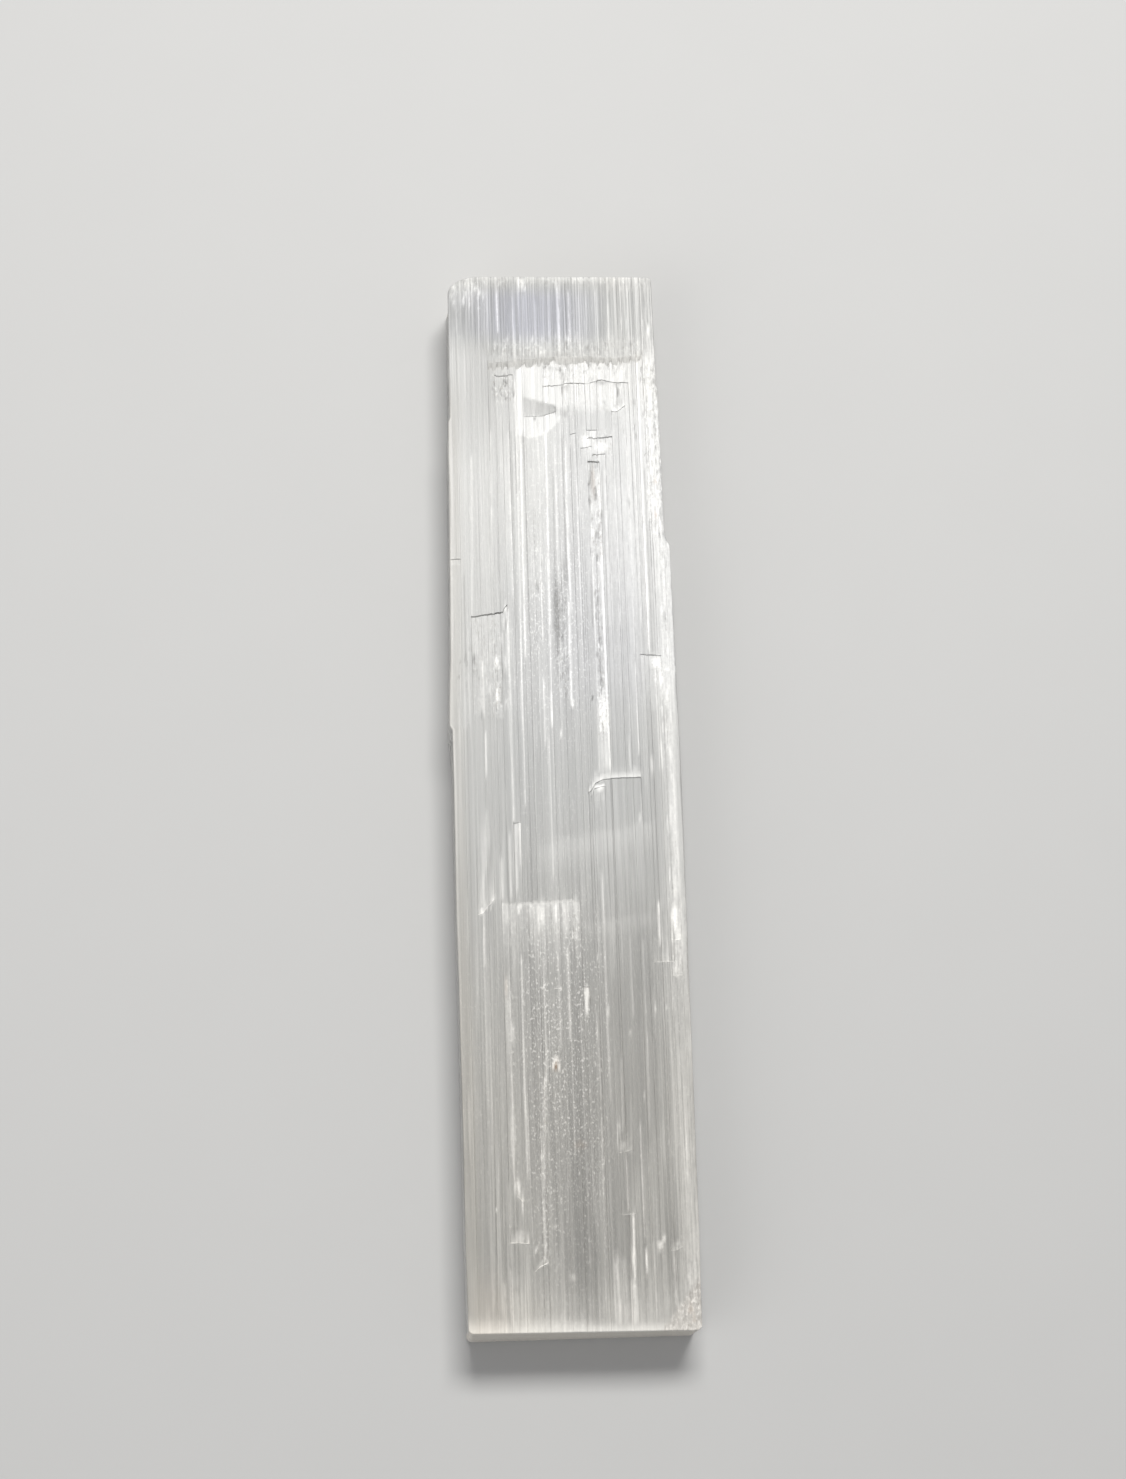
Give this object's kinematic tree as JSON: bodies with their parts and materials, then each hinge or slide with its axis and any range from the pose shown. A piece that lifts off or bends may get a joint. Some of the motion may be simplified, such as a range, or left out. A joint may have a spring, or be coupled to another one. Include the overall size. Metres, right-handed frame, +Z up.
{
  "type": "selenite crystal blade",
  "caption": "Flat, ruler-like selenite blade, silky and half see-through, cleaved along its fibres, with stepped flake scars and sawn ends.",
  "frame": {"origin": "middle of the footprint, on the underside that the blade rests on", "axes": "+Y along the fibres, towards the end with the well-rounded corner; +X across the width; +Z up through the thickness"},
  "size_m": [0.0316, 0.15, 0.009],
  "materials": {
    "satin_spar": "silky, half see-through fibrous gypsum with glossy fresh cleavage and whitish flake scars"
  },
  "bodies": {
    "root": {"blade": "satin_spar"}
  },
  "joints": []
}
